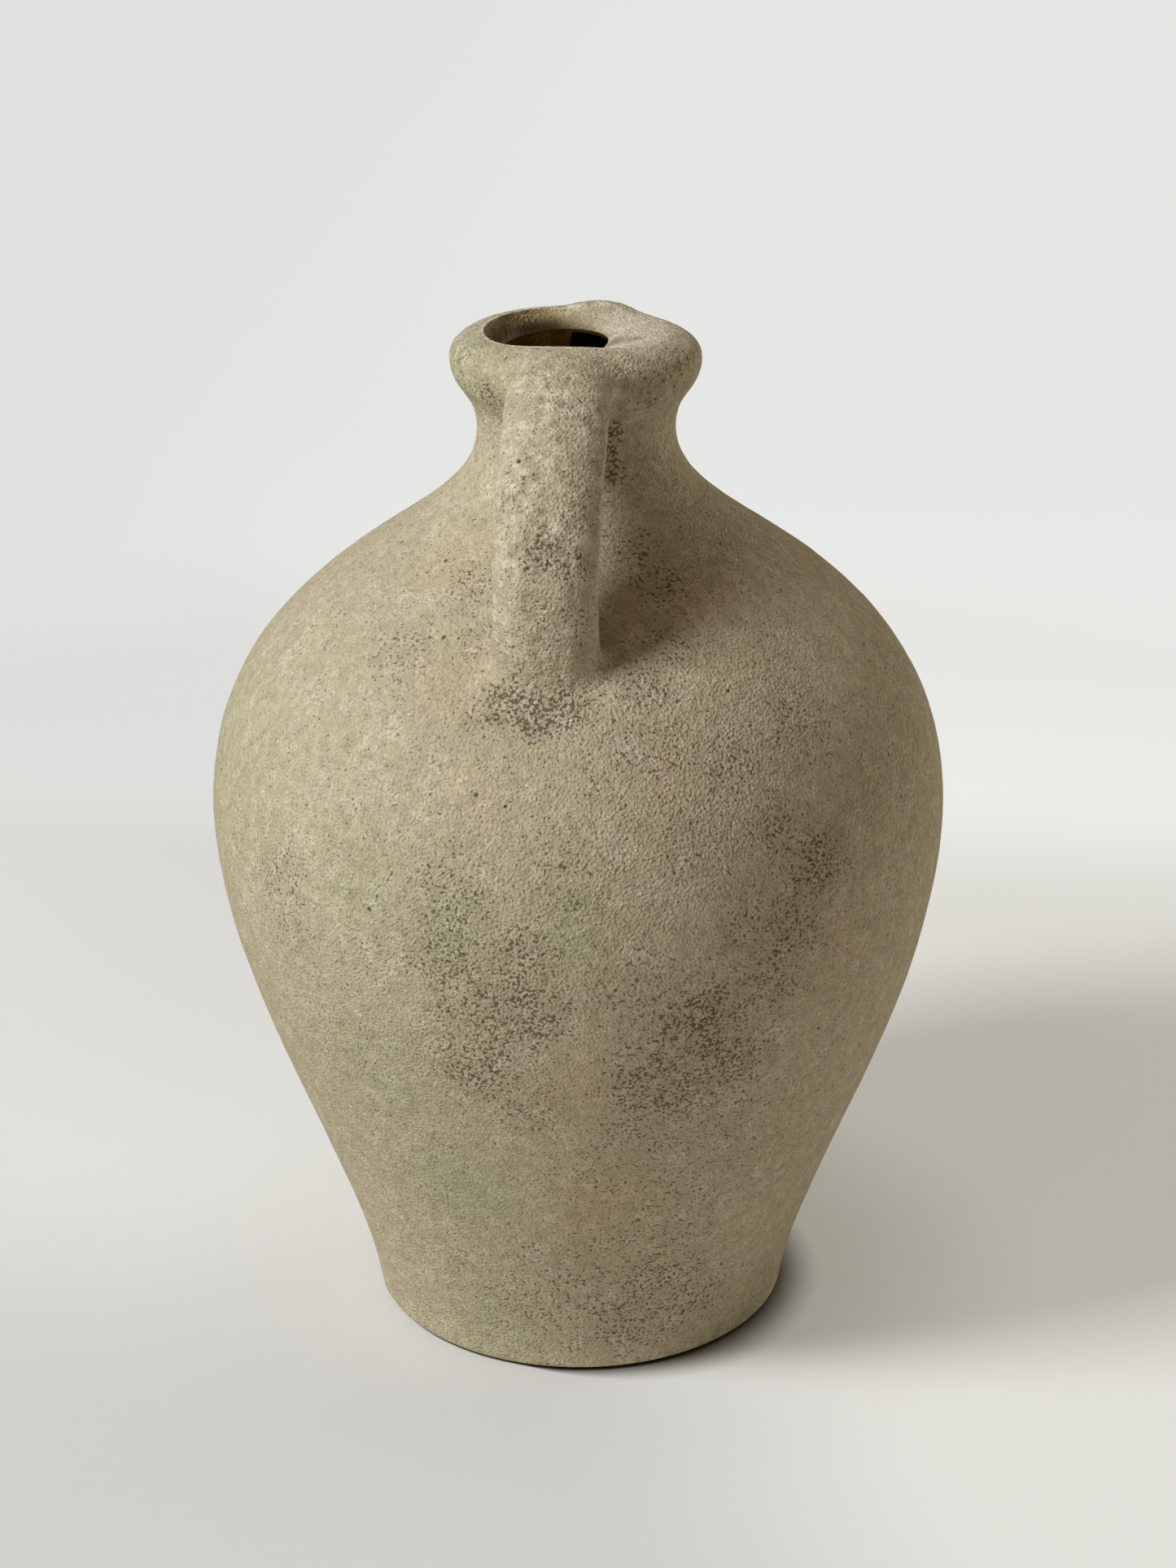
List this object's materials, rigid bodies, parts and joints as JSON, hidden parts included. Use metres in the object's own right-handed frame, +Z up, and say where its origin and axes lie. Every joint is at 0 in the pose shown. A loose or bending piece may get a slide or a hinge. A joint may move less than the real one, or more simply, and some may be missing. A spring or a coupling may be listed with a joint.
{
  "type": "amphora vase",
  "caption": "Amphora vase with strap handles, a full belly, short waisted neck, rolled lip and narrow off-centre mouth, in a matt sandy coat; stands on a table and holds a few stems.",
  "frame": {"origin": "middle of the flat underside, on the surface that the vase stands on", "axes": "+Z up along the vessel's axis, -Y towards the front handle"},
  "size_m": [0.1412, 0.1412, 0.1987],
  "materials": {
    "sandy_coat": "matt, rough, sandy, with dark specks",
    "foot_clay": "matt sandy coat outside, bare fired clay underneath"
  },
  "bodies": {
    "root": {"base": "foot_clay", "lower_body": "sandy_coat", "shoulder": "sandy_coat", "neck": "sandy_coat", "rim": "sandy_coat", "front_handle": "sandy_coat", "back_handle": "sandy_coat"}
  },
  "joints": []
}
